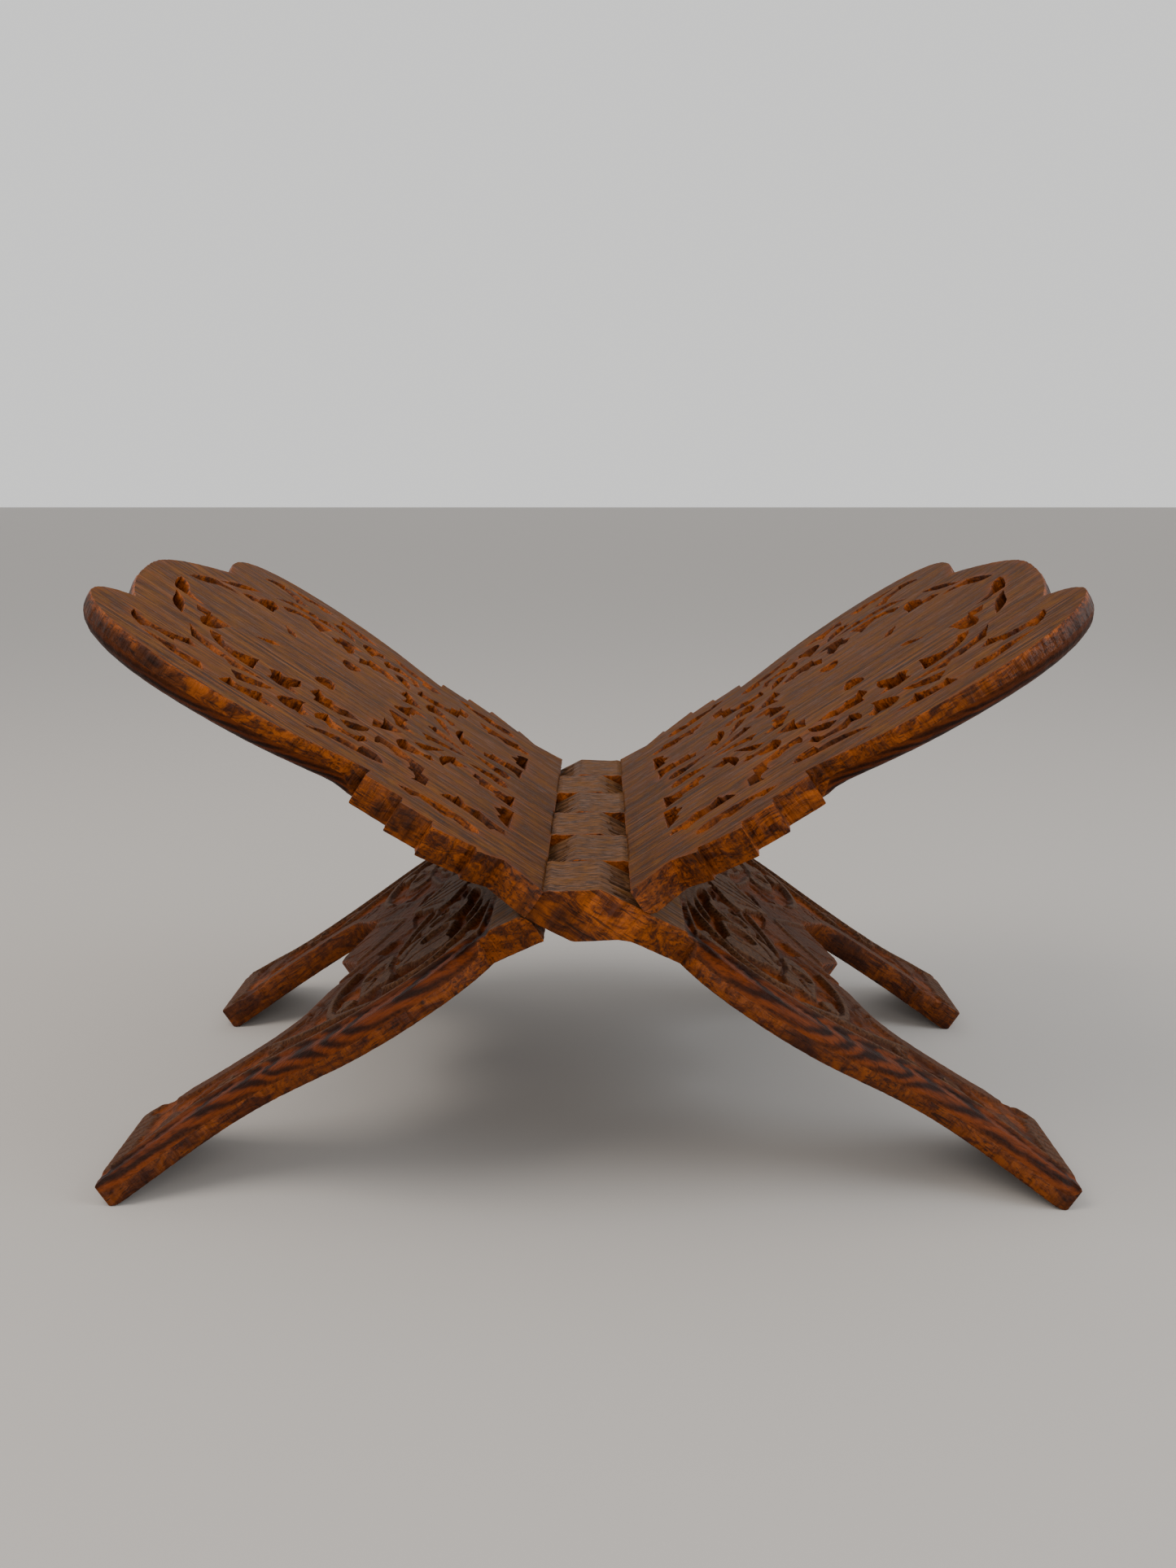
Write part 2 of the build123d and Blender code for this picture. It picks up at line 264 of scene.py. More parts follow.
# (points, depth, raw, dust, slope width)
LEG_AREAS = [
    ([(100, 56), (92, 60), (89, 50), (86, 42), (82, 36), (76, 33), (70, 22), (66, 22),
      (64, 16), (68, -4), (99, -4), (88, 22), (92, 34), (98, 44)], 0.9, 0.35, 0.3, 2.0),
    ([(68, 86), (62, 87), (54, 86.3), (47, 84.6), (42, 81.5), (38.5, 77), (37.5, 72),
      (41, 73), (44.5, 77), (48.5, 80), (53, 82), (58, 82.2), (62, 81), (66, 79),
      (69, 81)], 2.4, 0.35, 0.0, 0.8),
    ([(36.5, 75), (33, 76), (31.5, 70), (31, 62), (32.5, 58), (35, 63), (37.3, 68)],
     2.4, 1.0, 0.0, 0.8),
    ([(44.5, 66), (41.5, 69), (39.5, 63), (38.8, 57), (37, 51), (35.6, 44), (35.2, 38),
      (36, 31), (38, 25), (40, 31), (41.5, 36), (41, 40), (43.5, 44), (42.5, 50),
      (44, 56), (45.5, 61)], 2.7, 0.7, 0.0, 0.8),
    ([(64, 72), (63, 75.5), (60, 78.3), (56, 79.6), (52, 79.2), (48.5, 77.2), (45, 74),
      (42.8, 71), (47, 72.5), (52, 71.8), (55.5, 71), (57.5, 68.5), (60.5, 67.3),
      (63.3, 66.5)], 2.5, 1.0, 0.0, 0.7),
    ([(63.8, 64), (63, 66.5), (60, 67), (57.5, 68.3), (55.3, 70.8), (51, 71.5),
      (46.5, 72), (42.8, 70.5), (43.2, 66), (44.8, 61.5), (44, 57), (43, 52), (44, 48),
      (48, 46), (53, 44), (58, 44), (62, 46), (64, 50), (65.5, 55), (65, 60)],
     0.3, 0.1, 0.9, 0.8),
    ([(78.5, 54), (77.5, 60), (76.5, 67), (75.5, 71.5), (72, 72.3), (70, 70.4),
      (67, 71.6), (64.8, 71.4), (64.6, 66), (66.5, 60), (67.2, 53), (67, 47), (69, 43.5),
      (73, 43), (77, 46.5)], 0.4, 0.1, 0.8, 0.8),
    ([(66.3, 54), (64.5, 58.5), (63, 61), (63.2, 57.5), (64.5, 54)], 2.3, 1.0, 0.0, 0.6),
    ([(58.5, 38), (57, 41.5), (52.5, 44.5), (47.5, 45.6), (43.5, 43), (40.8, 39),
      (40, 35), (41.5, 30), (44, 26), (47, 24), (50, 26), (53, 29.5), (56.5, 33)],
     0.5, 0.2, 0.7, 0.8),
    ([(51, 31), (49.5, 33.5), (48.5, 30), (49.5, 27), (51, 28)], 2.2, 1.0, 0.0, 0.6),
    ([(84.5, 71.5), (81, 74.5), (78, 72.5), (77.5, 70), (79.5, 67.5), (82.2, 65.6),
      (83, 69)], 0.3, 0.1, 0.9, 0.7),
    ([(87, 55.5), (87.3, 62), (86.3, 67), (84, 69.5), (82, 65), (79.5, 66.5), (77.8, 66),
      (78.8, 60), (80, 55), (83.5, 53.5)], 2.4, 1.0, 0.0, 0.7),
    ([(77, 73.5), (76.2, 77.5), (73.5, 80.5), (69.8, 83.4), (68, 85), (67, 79),
      (68.5, 75), (70.5, 73), (73, 73.5), (75.5, 72.8)], 2.3, 1.0, 0.0, 0.7),
    ([(97.5, 70), (93.5, 72.6), (89.5, 74.3), (88.5, 70), (90.5, 64.5), (93.5, 61.5),
      (96.5, 65)], 2.1, 1.0, 0.0, 0.8),
    ([(104, 77), (97, 79.4), (90, 81.8), (83, 84.2), (75, 86), (70.5, 85.6), (76, 82.6),
      (82, 79.6), (88, 77.2), (94, 74.8), (99, 72.5), (103, 72)], 1.8, 0.6, 0.0, 0.9),
    ([(86.8, 51), (83.5, 52), (80.5, 49.5), (79.5, 46), (77.5, 42.8), (74, 40.5),
      (71, 39), (74, 36), (78, 35.6), (81.5, 38.5), (84.5, 43.5)], 2.2, 0.9, 0.0, 0.8),
    ([(77, 28), (74.5, 31.5), (71.5, 35), (69, 38.5), (66.5, 39), (66.5, 33), (68, 27.5),
      (71, 23.8), (73.5, 26.5)], 2.3, 0.8, 0.0, 0.8),
    ([(63.5, 21.5), (61.5, 19), (60.2, 14), (61.5, 9.5), (63, 4.5), (66, 4), (66.2, 9),
      (65, 15)], 2.2, 0.9, 0.0, 0.7),
    ([(52, 26), (49.5, 22.5), (49, 18.5), (46.5, 15.5), (45.8, 20), (47, 24)],
     2.5, 0.5, 0.0, 0.7),
    ([(44.8, 27.5), (43.5, 23), (45, 17), (44.2, 11.5), (42.6, 8), (41.5, 13), (42, 20)],
     2.6, 0.4, 0.0, 0.7),
    ([(67, -4), (67, 2), (63.5, 5), (62.3, 8.5), (59, 11.5), (57.2, 13), (56.3, 17.5),
      (53.8, 19.8), (50.5, 18.6), (48, 15), (46, 10), (43.5, 6), (41, 2.5), (39, -4)],
     0.2, 0.0, 0.9, 0.8),
    ([(97, -4), (97, 2), (94, 6.5), (90, 9.5), (86, 11), (82, 10), (79, 6), (77, 1.5),
      (77, -4)], 0.7, 0.3, 0.3, 1.5),
    # foot
    ([(172, 100), (158.5, 86), (158.2, 60), (159, 40), (172, 40)], 0.6, 0.1, 0.75, 2.2),
    ([(158, 81), (154.5, 80), (156, 75), (158, 70)], 1.6, 1.0, 0.0, 1.0),
    ([(158, 58), (157, 66), (153, 72.5), (150, 68), (151, 59), (155, 56.5)],
     1.8, 1.0, 0.0, 1.0),
    ([(153.5, 77), (148, 79.5), (142, 76.5), (143, 72), (147, 64.5), (150.5, 68),
      (152, 73)], 0.8, 0.4, 0.3, 1.2),
    ([(141, 74), (137, 73.6), (131, 73.4), (132, 69.8), (138, 69)], 1.7, 0.9, 0.0, 0.8),
    ([(141, 68), (131, 69), (126, 66), (131, 61), (138, 64)], 2.4, 0.35, 0.0, 0.9),
    ([(147, 65), (142.5, 67), (140, 62), (138, 58), (145, 56.5), (149, 60)],
     2.0, 0.9, 0.0, 0.9),
    ([(122.5, 73.5), (114, 74.6), (113.5, 70.5), (119, 69.3)], 1.9, 0.9, 0.0, 0.8),
    ([(126, 67), (120, 68.3), (113, 68.8), (110.5, 70), (111.5, 66), (120, 65)],
     2.5, 0.2, 0.0, 0.8),
    ([(124.5, 63.5), (112, 66), (114.5, 61), (120, 56.5)], 2.0, 1.0, 0.0, 0.9),
    ([(107, 64), (99, 69), (93, 72), (95, 64), (99, 60), (104, 59)], 1.7, 0.9, 0.0, 0.9),
    ([(161, 52), (154, 55), (149.5, 51.5), (153, 48.7), (162, 48.5)], 1.8, 0.8, 0.0, 1.2),
]
# (points, depth, raw, dust, half width)
LEG_LINES = [
    (BORDER, 0.0, 0.0, 1.0, 1.0),
    (BORDER_SIDE, 0.0, 0.0, 0.9, 0.9),
    ([(42, 83.6), (38, 82.2), (34.5, 81.5), (32.5, 80)], 0.1, 0.0, 1.0, 2.2),
    ([(33.5, 80), (34.5, 77.5), (35.8, 76)], 0.2, 0.0, 1.0, 1.5),
    ([(41.5, 71.5), (38.5, 68), (36.3, 64), (34.6, 60.5), (33.3, 57), (32.6, 51)],
     0.1, 0.0, 1.0, 0.9),
    ([(32, 55), (31.8, 48), (32.2, 41), (33.2, 34), (35.4, 27), (38, 21), (41, 15)],
     0.3, 0.1, 0.8, 1.8),
    ([(38.6, 58), (37, 53), (35.2, 47), (34.3, 41), (34.7, 34), (36.3, 27), (38.5, 20.5),
      (41, 15.5)], 0.0, 0.0, 1.0, 0.8),
    ([(40.2, 36), (41.3, 31), (40.8, 26), (39.6, 21.5), (41.4, 16), (43.5, 11)],
     0.2, 0.0, 0.9, 0.8),
    ([(66.5, 76.3), (63.5, 78.8), (60, 80.3), (56, 80.9), (52, 80.4), (48, 78.6),
      (44.5, 75.4), (41.5, 71.5)], 0.1, 0.0, 1.0, 1.0),
    ([(76, 80.8), (80, 78.2), (84, 75), (86.5, 71), (87.8, 66), (88.6, 60), (88.8, 54),
      (88, 48), (86, 42.5), (83, 38.5)], 0.2, 0.1, 0.8, 1.3),
    ([(67, 86.5), (71, 84.2), (75, 81.6), (80, 79), (86, 76.3), (92, 73.8), (98, 70.6),
      (103, 67.4), (108, 64), (112, 61)], 0.1, 0.1, 0.8, 1.2),
    ([(53, 43.6), (48.5, 45), (44.5, 43), (41.5, 39.5), (40.3, 36)], 0.0, 0.0, 1.0, 1.1),
    ([(66, 45), (64.5, 39), (63, 33), (61, 27), (59, 21.5), (57, 17.5)],
     0.3, 0.2, 0.7, 1.0),
    ([(61.5, 44), (60, 38), (58, 33.5), (55.5, 30), (54, 25.5), (54.5, 20)],
     0.3, 0.2, 0.7, 0.9),
    ([(92, 33), (87, 29.5), (82, 27), (77.5, 26.5), (74.2, 24.2), (73.8, 21)],
     0.4, 0.3, 0.5, 1.1),
    ([(90, 24), (86, 19), (82, 14.5), (78, 10), (74.5, 5), (71.5, 0)],
     0.2, 0.1, 0.7, 1.0),
    ([(150, 52), (139, 54.2), (129, 55.2), (118, 55.6), (108, 54.4), (100.5, 50),
      (95, 42), (92, 36)], 0.6, 0.3, 0.45, 3.4),
    ([(132, 73.6), (129.5, 70), (124, 67.6)], 0.6, 0.3, 0.6, 1.0),
    ([(113, 72.6), (108.5, 72.3), (105.8, 69.8), (107.5, 66.8), (110.5, 67.2)],
     0.4, 0.3, 0.6, 1.0),
]
# Carved grooves: (points, depth, half width)
LEG_GROOVES = [
    ([(63, 3), (58, 7), (53, 12)], 1.0, 0.45),
    ([(64, 0), (54, 0), (44, 0)], 0.9, 0.45),
    ([(60, 4), (53, 6), (46, 6)], 0.8, 0.4),
    ([(74, 68), (71, 60), (70, 50)], 1.0, 0.4),
    ([(60, 65), (55, 61), (46, 62)], 0.8, 0.4),
    ([(62, 60), (60, 52), (56, 46)], 0.8, 0.4),
    ([(47, 30), (44, 35), (43, 40)], 0.9, 0.4),
    ([(95, 4), (90, 7.5), (84, 8)], 1.2, 0.4),
    ([(97, 46), (93, 53), (94, 58)], 1.5, 0.5),
    ([(100, 50), (97, 55), (99, 59)], 1.6, 0.5),
    ([(88, 33), (84, 31), (80, 31)], 1.5, 0.5),
]
COMB = [80.5, 76, 71.5, 67, 62.5, 58, 53.5]      # distances of the comb cuts on a foot
ROUNDELS = [(50.5, 52.5, 6.0, 1.4), (126.3, 71.2, 3.4, 1.2), (72.5, 56.0, 4.6, 1.1),
            (50.5, 38.6, 4.6, 0.9)]              # middle, radius and depth of the inside
COMB_STROKE = [(165.4, -0.8), (162, 0), (158.8, 0.2)]    # the second number adds to COMB
# (depth, raw, dust)
OUTSIDE = (1.1, 0.12, 0.0)
FIELD_GROUND = (1.5, 0.45, 0.12)
ROUNDEL_RING = (0.1, 0.0, 0.9)
COMB_CUT = (0.8, 0.3, 0.1)
PLAIN = (0.0, 0.0, 0.85)
SHOULDER = (0.25, 0.0, 0.8)
ROUNDEL_TINT = (0.35, 0.3)
GROOVE_TINT = (0.4, 0.1)
# Grooves and rosette of the book rest's outer face, half of it, as (u, v).
REST_GROOVES = [[(84, 3), (92, 16), (104, 27), (118, 31), (132, 26), (143, 14), (147, 0)],
                [(90, 3), (98, 12), (108, 19), (118, 21), (128, 17), (136, 9), (139, 0)]]
ROSETTE_U, ROSETTE_REACH = 114, 17


def lay(state, mask, values):
    """Blend the values (depth, raw, dust) into the state where the mask is set."""
    for layer, value in zip(state, values):
        layer += (value - layer) * mask


def leg_carving(u, v):
    """Depth, rawness, dust and polish of the legs' outer face."""
    p = np.stack([-u, abs(v)], 1)
    state = [np.full(len(p), value) for value in OUTSIDE]
    field = smooth(polygon_depth(p, np.array(FIELD)), -1.6, 0.6)
    lay(state, field, FIELD_GROUND)
    for points, depth, raw, dust, slope in LEG_AREAS:
        shape = polygon_depth(p, spline(points, closed=True))
        lay(state, smooth(shape, -slope / 2, slope / 2) * field, (depth, raw, dust))
    for cu, cv, radius, depth in ROUNDELS:
        r = np.hypot(p[:, 0] - cu, p[:, 1] - cv)
        lay(state, smooth(radius - r, -0.4, 0.4), (depth, *ROUNDEL_TINT))
        lay(state, smooth(0.8 - abs(r - radius), -0.4, 0.4), ROUNDEL_RING)
    for points, depth, raw, dust, half_width in LEG_LINES:
        shape = line_depth(p, spline(points), half_width)
        lay(state, smooth(shape, -0.55, 0.45), (depth, raw, dust))
    for points, depth, half_width in LEG_GROOVES:
        shape = line_depth(p, spline(points), half_width)
        lay(state, smooth(shape, -0.4, 0.3), (depth, *GROOVE_TINT))
    for h in COMB:
        cut = line_depth(p, np.array([(a, h + b) for a, b in COMB_STROKE]), 0.45)
        lay(state, smooth(cut, -0.5, 0.3), COMB_CUT)
    plain = 1 - smooth(p[:, 0], FLAT_HINGE, FLAT_HINGE + 1.2)
    lay(state, plain, PLAIN)
    outside = (1 - field) * (1 - plain)
    flank = smooth(p[:, 1], 50, 60)
    lay(state, outside * (1 - flank), SHOULDER)
    return *state, outside * flank


def rest_carving(u, v, hole_distance):
    """Depth, rawness and dust of the book rest's outer face."""
    depth = 1.3 * (1 - smooth(hole_distance, 0.2, 2.6))
    raw = 0.5 * (1 - smooth(hole_distance, 0.2, 2.0))
    dust = 0.6 * smooth(hole_distance, 1.0, 3.0)
    p = np.stack([u, abs(v)], 1)
    for points in REST_GROOVES:
        shape = line_depth(p, spline(points), 0.6)
        cut = smooth(shape, -0.6, 0.3)
        depth = np.maximum(depth, 1.2 * cut)
        raw = np.maximum(raw, 0.5 * cut)
        dust = dust * (1 - cut)
    reach = np.hypot(u - ROSETTE_U, v)
    angle = np.arctan2(v, u - ROSETTE_U)
    petal = 6 + 8 * abs(np.cos(4 * angle))
    inside = smooth(petal - reach, -0.5, 0.5)
    rosette = reach < ROSETTE_REACH
    depth = np.where(rosette, np.maximum(depth, 1.5 * (1 - inside)), depth)
    raw = np.where(rosette, np.maximum(raw, 0.6 * (1 - inside)), raw)
    vein = smooth(0.7 - abs(reach * np.sin(4 * angle) / 4), -0.3, 0.4) * inside
    depth = np.maximum(depth, 0.9 * vein)
    return depth, raw, dust


# ---------- mesh of a leaf

SHORTEST = 0.12       # shorter stretches of an outline are left out
OUTLINE_STEP, OPENING_STEP = 1.1, 1.0            # longest stretches of the loops
OUTLINE_WOBBLE, OPENING_WOBBLE = 0.16, 0.13
WOBBLE_LENGTHS = (3.1, 5.3, 9.7)
LEAF_HALF_WIDTH = 108  # beyond either side of a leaf
ROW_SPACING = 0.866   # of a triangular grid, as a share of its step
SHUFFLE = 0.08        # random shift of a grid's points, as a share of its step
EDGE_SAMPLES = 4      # samples on each stretch of an outline
# Rounding radii: sawn corners, ends of the feet, the arch, the rest's teeth and openings.
SAWN_ROUND, FOOT_ROUND, ARCH_ROUND, REST_ROUND = 0.3, 1.4, 1.3, 0.6
RIM_INSET = 0.3       # a sheet's rim lies this far inside the outline
WIDE_ROUND = 3.0      # edges rounded by more than this get rings of corners
RINGS = ((0.9, 0.8), (1.8, 1.6), (3.0, 2.7), (4.6, 4.2))   # inset, least distance kept
RING_REACH = 5.2      # the grid starts this far inside such an edge
THINNEST = 0.2        # least height of a wall
SCORE_AT, SCORE_WIDTH, SCORE_DEPTH = 13.7, 0.75, 0.8       # groove where a finger ends
CUT_DEPTH, CUT_SPACING = 1.1, 2.3
SHARP_ANGLE = 40
WALL_LOOKS = (1.0, 0.0, 0.0, 0.3, 0.0, 0.0)      # in the order of LOOKS
WALL_POLISH = 0.5     # polish of a wall beside a widely rounded edge
# (from u, to u, step) of the grids of a sheet
UPPER_ZONES = [(-168, -29, 0.69), (-29, -10.5, 1.3), (-10.5, 0, 0.65), (0, 12.2, 1.3),
               (12.2, 15.2, 0.6), (15.2, 172, 2.9)]
LOWER_ZONES = [(-168, -161, 0.9), (-161, -16, 3.2), (-16, 18, 1.2), (18, 172, 1.15)]


def waves(x, rng, lengths, height):
    """Smooth seeded wobble along x: a few sine waves of the given lengths."""
    out = np.zeros(len(x))
    for length in lengths:
        out += np.sin(x * 2 * math.pi / length + rng.uniform(0, 2 * math.pi))
    return out * height / len(lengths)


def resampled(loop, step, rng, wobble):
    """The loop divided to at most step, its sides gently wavy as a hand-held saw cuts."""
    points = []
    for a, b in zip(loop, np.roll(loop, -1, 0)):
        length = float(np.linalg.norm(b - a))
        if length < SHORTEST:
            continue
        count = max(1, math.ceil(length / step))
        points += [a + (b - a) * k / count for k in range(count)]
    points = np.array(points)
    normal = into_wood(points)
    travel = np.cumsum(np.linalg.norm(points - np.roll(points, 1, 0), axis=1))
    shift = waves(travel, rng, WOBBLE_LENGTHS, wobble)
    return points + normal * shift[:, None]


def rounded_feet(loop):
    """The loop with the corners of its feet worn round."""
    feet = (loop[:, 0] < -FOOT + 4)[:, None]
    for _ in range(4):
        mean = (np.roll(loop, 1, 0) + 2 * loop + np.roll(loop, -1, 0)) / 4
        loop = np.where(feet, mean, loop)
    return loop


def into_wood(points):
    """Unit normals that point into the wood, which lies left of the loop."""
    ahead = np.roll(points, -1, 0) - points
    behind = points - np.roll(points, 1, 0)
    ahead /= np.linalg.norm(ahead, axis=1)[:, None] + 1e-9
    behind /= np.linalg.norm(behind, axis=1)[:, None] + 1e-9
    along = ahead + behind
    normal = np.stack([-along[:, 1], along[:, 0]], 1)
    return normal / np.maximum(np.linalg.norm(normal, axis=1), 0.3)[:, None]


def inside_loops(points, loops):
    """Even-odd test of points against closed loops."""
    order = np.argsort(points[:, 1])
    inside = np.zeros(len(points), bool)
    a = np.concatenate(loops)
    b = np.concatenate([np.roll(loop, -1, 0) for loop in loops])
    for rows in np.array_split(order, max(1, len(points) // 400)):
        if not len(rows):
            continue
        low, high = points[rows, 1].min(), points[rows, 1].max()
        near = (np.minimum(a[:, 1], b[:, 1]) <= high) & (np.maximum(a[:, 1], b[:, 1]) >= low)
        p, q = a[near], b[near]
        y = points[rows, 1][:, None]
        crosses = (p[:, 1] > y) != (q[:, 1] > y)
        rise = np.where(abs(q[:, 1] - p[:, 1]) < 1e-9, 1e-9, q[:, 1] - p[:, 1])
        at = (q[:, 0] - p[:, 0]) * (y - p[:, 1]) / rise + p[:, 0]
        inside[rows] = (crosses & (points[rows, 0][:, None] < at)).sum(1) % 2 == 1
    return inside


def hex_grid(low_u, high_u, step, rng):
    """Slightly shuffled triangular grid between two values of u."""
    rows = np.arange(-LEAF_HALF_WIDTH, LEAF_HALF_WIDTH, step * ROW_SPACING)
    columns = np.arange(low_u + step / 2, high_u, step)
    u, v = np.meshgrid(columns, rows)
    u = u + (np.arange(len(rows)) % 2)[:, None] * step / 2
    points = np.stack([u.ravel(), v.ravel()], 1)
    points = points[points[:, 0] < high_u - step * 0.2]
    return points + rng.uniform(-SHUFFLE, SHUFFLE, points.shape) * step


def tree_of(points):
    """A search tree of (u, v) points."""
    tree = kdtree.KDTree(len(points))
    for i, (u, v) in enumerate(points.tolist()):
        tree.insert((u, v, 0), i)
    tree.balance()
    return tree


class Edge:
    """Distance from any point to the outline, and the rounding of the nearest stretch."""

    def __init__(self, loops, rounds):
        self.rounds = []
        samples = []
        for loop, values in zip(loops, rounds):
            nxt, following = np.roll(loop, -1, 0), np.roll(values, -1)
            for k in range(EDGE_SAMPLES):
                samples.append(loop + (nxt - loop) * k / EDGE_SAMPLES)
                self.rounds.append(values + (following - values) * k / EDGE_SAMPLES)
        samples = np.concatenate(samples)
        self.rounds = np.concatenate(self.rounds)
        self.tree = tree_of(samples)

    def near(self, points):
        """Distance and rounding radius of the outline's nearest point."""
        found = [self.tree.find((u, v, 0)) for u, v in points.tolist()]
        index = np.array([f[1] for f in found])
        return np.array([f[2] for f in found]), self.rounds[index]


def rounded_drop(distance, radius):
    """How far a rounded edge has fallen at a distance from the outline."""
    inset = np.clip(radius - distance, 0, radius)
    return radius - np.sqrt(np.maximum(radius ** 2 - inset ** 2, 0))


def own_share(v, spans):
    """1 where v lies on one of the leaf's own fingers, falling to 0 just beside them."""
    gap = np.min([np.maximum(low - v, v - high) for low, high in spans], axis=0)
    return 1 - smooth(gap, 0.1, 1.3)


class Leaf:
    """Everything needed to work out the two sheets of a leaf."""

    def __init__(self, node, seed):
        self.node, self.side = node, SIDES[node]
        self.rng = np.random.default_rng(seed)
        outer, holes, self.spans = plan_of(node, self.side)
        outer = resampled(outer, OUTLINE_STEP, self.rng, OUTLINE_WOBBLE)
        self.loops = [rounded_feet(outer)]
        windows = len(self.spans) - 1    # gaps between the fingers; they come first
        for k, hole in enumerate(holes):
            wobble = OPENING_WOBBLE if k >= windows else 0.0
            self.loops.append(resampled(hole, OPENING_STEP, self.rng, wobble))
        self.normals = [into_wood(loop) for loop in self.loops]
        self.upper_rounds = [self.rounding(loop, upper=True) for loop in self.loops]
        self.lower_rounds = [self.rounding(loop, upper=False) for loop in self.loops]
        self.fret = tree_of(np.concatenate(self.loops[1 + windows:]))

    def rounding(self, loop, upper):
        """Rounding radius at each point of a loop, on one of the two sheets."""
        u, v = loop.T
        outline = loop is self.loops[0]
        radius = np.full(len(loop), SAWN_ROUND)
        radius[u < -FOOT + 1.5] = FOOT_ROUND
        if upper:
            flank = (u < -32) & (abs(v) > 70) & (u > -FOOT + 1)
            radius[flank] = EDGE_ROUND
            radius[(u < -60) & ~flank] = ARCH_ROUND
        else:
            radius[(u > 74) & outline] = EDGE_ROUND
            radius[(u > 16) & (radius < 1)] = REST_ROUND
        if outline:
            for _ in range(6):
                radius = (np.roll(radius, 1) + radius * 2 + np.roll(radius, -1)) / 4
        return radius

    def height(self, points, edge, upper):
        """w of a sheet at the points, with rawness, dust and polish."""
        u, v = points.T
        distance, radius = edge.near(points)
        own = own_share(v, self.spans)
        sign = 1 if upper else -1
        s = u * sign
        knots = np.array(KNUCKLE)
        w = np.interp(s, knots[:, 0], knots[:, 1])
        end_drop = rounded_drop(np.clip(-s - SAWN_END, 0, 99), END_ROUND)
        w = w * own + np.where(s > 0, INNER, end_drop - HALF) * (1 - own)
        drop = rounded_drop(distance, radius)
        if upper:
            depth, raw, dust, polish = leg_carving(u, v)
        else:
            hole_distance = [self.fret.find((a, b, 0))[2] for a, b in points.tolist()]
            depth, raw, dust = rest_carving(u, v, np.array(hole_distance))
            polish = smooth(8 - distance, 0, 4) * (radius > WIDE_ROUND)
        carved = smooth(-s, RELIEF_FROM, RELIEF_FROM + 2)
        gouges = waves(0.8 * u + 0.6 * v, self.rng, (2.4, 3.9), 0.11)
        gouges += waves(0.8 * v - 0.6 * u, self.rng, (2.9, 4.7), 0.11)
        depth = depth + gouges * smooth(depth, 0.4, 1.0)
        depth, polish = depth * carved, polish * carved
        raw, dust = raw * carved, np.where(s > 0, 1.0, dust * carved + 0.85 * (1 - carved))
        depth = np.maximum(depth, drop)
        sawn = waves(u + 0.13 * v, self.rng, (3.1, 5.7, 17.0), 0.035) + 0.05
        w = w + np.where(s < -RELIEF_FROM, depth, drop) + np.where(s > 15, sawn, 0)
        wear = np.exp(-distance / 0.45)
        cut = self.saw_cuts(s, v) if upper else np.zeros(len(u))
        knuckle = np.where(s > 0, own * smooth(14.4 - s, 0, 0.8), 1.0)
        if upper:
            w = w + SCORE_DEPTH * own * smooth(SCORE_WIDTH - abs(s - SCORE_AT), 0, 0.5)
        looks = np.stack([raw, dust, polish, wear, cut, knuckle], 1)
        return sign * (w + CUT_DEPTH * cut), looks

    def saw_cuts(self, s, v):
        """Short overrun cuts of the saw on the knuckles, beside the other book rest."""
        cut = np.zeros(len(s))
        for low, high in self.spans:
            for middle in np.arange(low + 2.5, high - 2.5, CUT_SPACING):
                middle += self.rng.uniform(-0.4, 0.4)
                start, end = self.rng.uniform(-3.5, -1.0), self.rng.uniform(-9.5, -7.0)
                lean = self.rng.uniform(-0.12, 0.12)
                across = abs(v - middle - lean * s)
                line = smooth(0.8 - across, 0, 0.45) * smooth(start - s, 0, 1.0)
                cut = np.maximum(cut, line * smooth(s - end, 0, 0.8))
        return cut

    def sheet(self, upper, zones):
        """Corners, triangles and looks of one sheet; its outline's corners come first."""
        rounds = self.upper_rounds if upper else self.lower_rounds
        edge = Edge(self.loops, rounds)
        inset = [loop + normal * self.rim_inset(r)[:, None]
                 for loop, normal, r in zip(self.loops, self.normals, rounds)]
        rim = np.concatenate(inset)
        wide = np.concatenate(rounds) > WIDE_ROUND
        base, inward = np.concatenate(self.loops)[wide], np.concatenate(self.normals)[wide]
        inner = []
        for distance, least in RINGS:
            ring = base + inward * distance
            keep = inside_loops(ring, inset) & (edge.near(ring)[0] > least)
            inner.append(ring[keep])
        for low, high, step in zones:
            grid = hex_grid(low, high, step, self.rng)
            grid = grid[inside_loops(grid, inset)]
            distance, radius = edge.near(grid)
            gap = np.where(radius > WIDE_ROUND, RING_REACH, RIM_INSET + 0.45 * step)
            inner.append(grid[distance > gap])
        inner = np.concatenate(inner)
        points = np.concatenate([rim, inner])
        links, start = [], 0
        for loop in inset:
            count = len(loop)
            links += [(start + k, start + (k + 1) % count) for k in range(count)]
            start += count
        found = geometry.delaunay_2d_cdt([Vector(p) for p in points.tolist()], links, [],
                                         0, 1e-7, True)
        place = np.array([origins[0] if origins else -1 for origins in found[3]])
        corners = np.array([tuple(co) for co in found[0]])
        triangles = np.array([face for face in found[2] if len(face) == 3])
        is_rim = (place[triangles] < len(rim)).all(1)
        middles = corners[triangles[is_rim]].mean(1)
        keep = np.ones(len(triangles), bool)
        keep[np.flatnonzero(is_rim)] = inside_loops(middles, inset)
        triangles = place[triangles[keep]]
        triangles = triangles[(triangles >= 0).all(1)]
        w, looks = self.height(points, edge, upper)
        return np.column_stack([points, w]), triangles, looks

